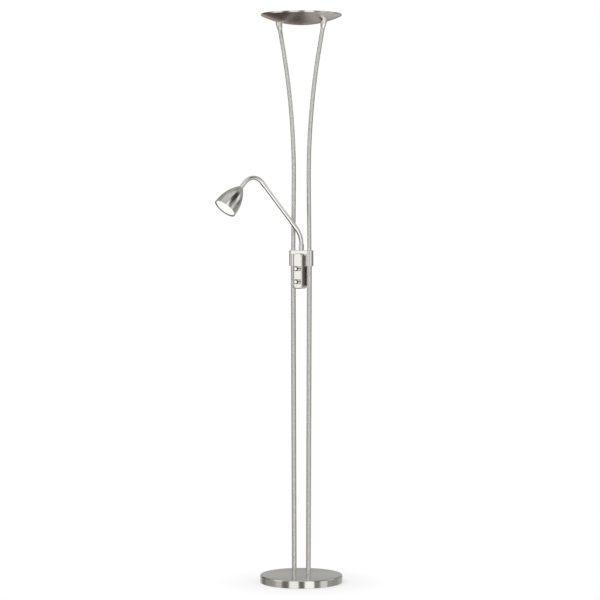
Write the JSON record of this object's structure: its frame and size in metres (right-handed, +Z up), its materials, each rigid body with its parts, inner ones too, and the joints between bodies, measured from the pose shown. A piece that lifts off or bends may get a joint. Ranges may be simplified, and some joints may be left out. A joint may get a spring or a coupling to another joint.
{
  "type": "torchiere floor lamp with reading light",
  "caption": "Floor lamp with a round foot, two bowed poles, an uplighter bowl, a bracket with a dimmer housing and a reading head on a bending arm.",
  "frame": {"origin": "centre of the foot on the floor", "axes": "+Z up, the two poles at +X and -X, the knobs at the front, -Y"},
  "size_m": [0.2656, 0.4269, 1.8],
  "materials": {
    "brushed_nickel": "satin brushed nickel plate",
    "satin_casting": "satin nickel plate on a casting",
    "satin_housing": "satin nickel plate on pressed sheet",
    "polished_chrome": "polished chrome plate",
    "zinc_steel": "bright zinc plate",
    "sprung_steel": "spring strip",
    "dark_ring": "black",
    "cast_weight": "as cast",
    "plated_sheet": "zinc plated sheet",
    "felt": "pressed felt",
    "black_rubber": "matte",
    "black_plastic": "fine grain",
    "white_plastic": "plain",
    "lead_sheath": "smooth",
    "white_enamel": "white enamel",
    "reflector_aluminium": "bright",
    "white_ceramic": "unglazed",
    "lamp_glass": "clear",
    "shield_glass": "clear",
    "opal_glass": "opal",
    "frosted_lens": "frosted"
  },
  "bodies": {
    "stand": {"foot_cover": "brushed_nickel", "foot_weight": "cast_weight", "bottom_plate": "plated_sheet", "plate_screws": "zinc_steel", "foot_pad": "felt", "foot_washers": "zinc_steel", "foot_studs": "zinc_steel", "pole_nuts": "zinc_steel", "cord_gland": "black_rubber", "terminal_block": "white_plastic", "pole_leads": "lead_sheath", "pole_ferrules": "polished_chrome", "bowl_studs": "zinc_steel", "bowl_shell": "brushed_nickel", "bowl_plate": "white_enamel", "reflector_trough": "reflector_aluminium", "lamp_holders": "white_ceramic", "tube_lamp": "lamp_glass", "tube_lamp_ends": "white_ceramic", "glass_shield": "shield_glass", "shield_clips": "sprung_steel", "clip_screws": "zinc_steel", "bracket_body": "satin_casting", "bracket_cap": "satin_casting", "clamp_screws": "zinc_steel", "grub_screws": "zinc_steel", "fascia": "satin_housing", "dimmer_box": "satin_housing", "dimmer_carrier": "black_plastic", "dimmers": "black_plastic", "panel_nuts": "zinc_steel", "lower_tube_left": "brushed_nickel", "upper_tube_left": "brushed_nickel", "lower_tube_right": "brushed_nickel", "upper_tube_right": "brushed_nickel"},
    "arm_base": {"arm_collar": "polished_chrome", "collar_nut": "zinc_steel"},
    "lower_link_1": {"lower_sleeve_1": "polished_chrome"},
    "lower_link_2": {"lower_sleeve_2": "polished_chrome"},
    "lower_link_3": {"lower_sleeve_3": "polished_chrome"},
    "arm_rod": {"arm_ferrule": "polished_chrome", "arm_tube": "polished_chrome", "end_ferrule": "polished_chrome"},
    "upper_link_1": {"upper_sleeve_1": "polished_chrome"},
    "upper_link_2": {"upper_sleeve_2": "polished_chrome"},
    "upper_link_3": {"upper_sleeve_3": "polished_chrome"},
    "upper_link_4": {"upper_sleeve_4": "polished_chrome"},
    "upper_link_5": {"upper_sleeve_5": "polished_chrome"},
    "head": {"head_neck": "polished_chrome", "shade": "brushed_nickel", "head_nut": "zinc_steel", "lamp_socket": "white_ceramic", "capsule_lamp": "opal_glass", "head_reflector": "white_enamel", "lens": "frosted_lens", "rim_ring": "dark_ring"},
    "upper_control": {"upper_knob": "polished_chrome", "upper_spindle": "zinc_steel"},
    "lower_control": {"lower_knob": "polished_chrome", "lower_spindle": "zinc_steel"}
  },
  "joints": [
    {"name": "arm_swivel", "type": "hinge", "parent": "stand", "child": "arm_base", "pos_m": [0, 0, 1.0515], "axis": [0, 0, 1], "range_deg": [-37, 78]},
    {"name": "lower_flex_1", "type": "hinge", "parent": "arm_base", "child": "lower_link_1", "pos_m": [0, 0, 1.07783], "axis": [0.9367, -0.3502, 0], "range_deg": [-6, 9]},
    {"name": "lower_flex_2", "type": "hinge", "parent": "lower_link_1", "child": "lower_link_2", "pos_m": [-0.00086, -0.00231, 1.09125], "axis": [0.9367, -0.3502, 0], "range_deg": [-6, 9]},
    {"name": "lower_flex_3", "type": "hinge", "parent": "lower_link_2", "child": "lower_link_3", "pos_m": [-0.00256, -0.00685, 1.10401], "axis": [0.9367, -0.3502, 0], "range_deg": [-6, 9]},
    {"name": "lower_flex_4", "type": "hinge", "parent": "lower_link_3", "child": "arm_rod", "pos_m": [-0.00504, -0.01347, 1.11569], "axis": [0.9367, -0.3502, 0], "range_deg": [-6, 9]},
    {"name": "upper_flex_1", "type": "hinge", "parent": "arm_rod", "child": "upper_link_1", "pos_m": [-0.05285, -0.14136, 1.26948], "axis": [0.9367, -0.3502, 0], "range_deg": [-14, 4]},
    {"name": "upper_flex_2", "type": "hinge", "parent": "upper_link_1", "child": "upper_link_2", "pos_m": [-0.05636, -0.15075, 1.27582], "axis": [0.9367, -0.3502, 0], "range_deg": [-14, 4]},
    {"name": "upper_flex_3", "type": "hinge", "parent": "upper_link_2", "child": "upper_link_3", "pos_m": [-0.06035, -0.16141, 1.27914], "axis": [0.9367, -0.3502, 0], "range_deg": [-14, 4]},
    {"name": "upper_flex_4", "type": "hinge", "parent": "upper_link_3", "child": "upper_link_4", "pos_m": [-0.0645, -0.17251, 1.27918], "axis": [0.9367, -0.3502, 0], "range_deg": [-14, 4]},
    {"name": "upper_flex_5", "type": "hinge", "parent": "upper_link_4", "child": "upper_link_5", "pos_m": [-0.06849, -0.18319, 1.27594], "axis": [0.9367, -0.3502, 0], "range_deg": [-14, 4]},
    {"name": "upper_flex_6", "type": "hinge", "parent": "upper_link_5", "child": "head", "pos_m": [-0.07202, -0.19262, 1.26967], "axis": [0.9367, -0.3502, 0], "range_deg": [-14, 4]},
    {"name": "upper_knob_turn", "type": "hinge", "parent": "stand", "child": "upper_control", "pos_m": [0, -0.02, 0.9938], "axis": [0, 1, 0], "range_deg": [0, 280]},
    {"name": "lower_knob_turn", "type": "hinge", "parent": "stand", "child": "lower_control", "pos_m": [0, -0.02, 0.9526], "axis": [0, 1, 0], "range_deg": [0, 280]}
  ],
  "couplings": [
    {"joint": "lower_flex_2", "follows": "lower_flex_1", "ratio": 1},
    {"joint": "lower_flex_3", "follows": "lower_flex_1", "ratio": 1},
    {"joint": "lower_flex_4", "follows": "lower_flex_1", "ratio": 1},
    {"joint": "upper_flex_2", "follows": "upper_flex_1", "ratio": 1},
    {"joint": "upper_flex_3", "follows": "upper_flex_1", "ratio": 1},
    {"joint": "upper_flex_4", "follows": "upper_flex_1", "ratio": 1},
    {"joint": "upper_flex_5", "follows": "upper_flex_1", "ratio": 1},
    {"joint": "upper_flex_6", "follows": "upper_flex_1", "ratio": 1}
  ]
}
